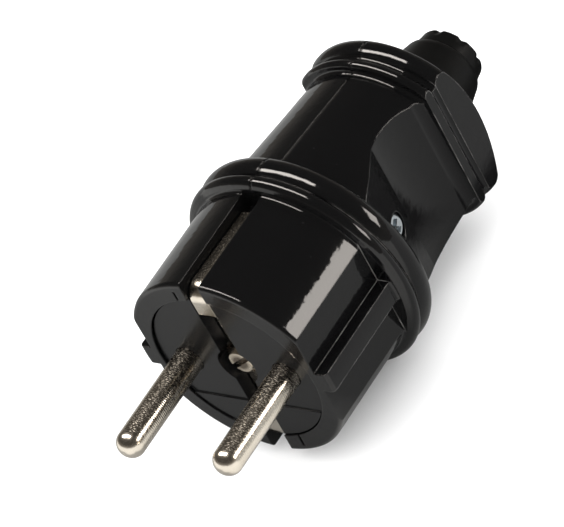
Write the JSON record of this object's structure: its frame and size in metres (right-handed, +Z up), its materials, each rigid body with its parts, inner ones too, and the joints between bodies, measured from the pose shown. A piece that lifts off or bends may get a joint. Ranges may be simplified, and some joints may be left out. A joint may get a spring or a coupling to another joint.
{
  "type": "type f plug",
  "caption": "Round earthed mains plug with plain round pins, side earth contacts, a waisted grip in two screwed half shells, and a soft sleeve where the cord enters.",
  "frame": {"origin": "centre of the face that meets the socket, on the axis of the plug", "axes": "+X through both pins towards the side with the housing screw, +Y back along the axis towards the cord, +Z up through the upper earth contact"},
  "size_m": [0.0404, 0.0874, 0.0404],
  "materials": {
    "shell": "glossy black moulding",
    "carrier": "semi-matte black moulding",
    "pin": "bright nickel plating",
    "earth_contact": "nickel plating",
    "earth_hardware": "nickel plating",
    "terminal": "plain brass",
    "zinc": "bluish zinc plating",
    "clamp": "matte moulding",
    "sleeve": "matte black rubber"
  },
  "bodies": {
    "root": {"left_half_shell": "shell", "right_half_shell": "shell", "pin_carrier": "carrier", "left_pin": "pin", "right_pin": "pin", "terminal_screws": "zinc", "earth_strip": "earth_contact", "earth_washer": "earth_hardware", "earth_screw": "earth_hardware", "earth_terminal": "terminal", "housing_screw": "zinc", "housing_nut": "zinc", "cord_clamp": "clamp", "clamp_screws": "zinc", "bend_relief": "sleeve"}
  },
  "joints": []
}
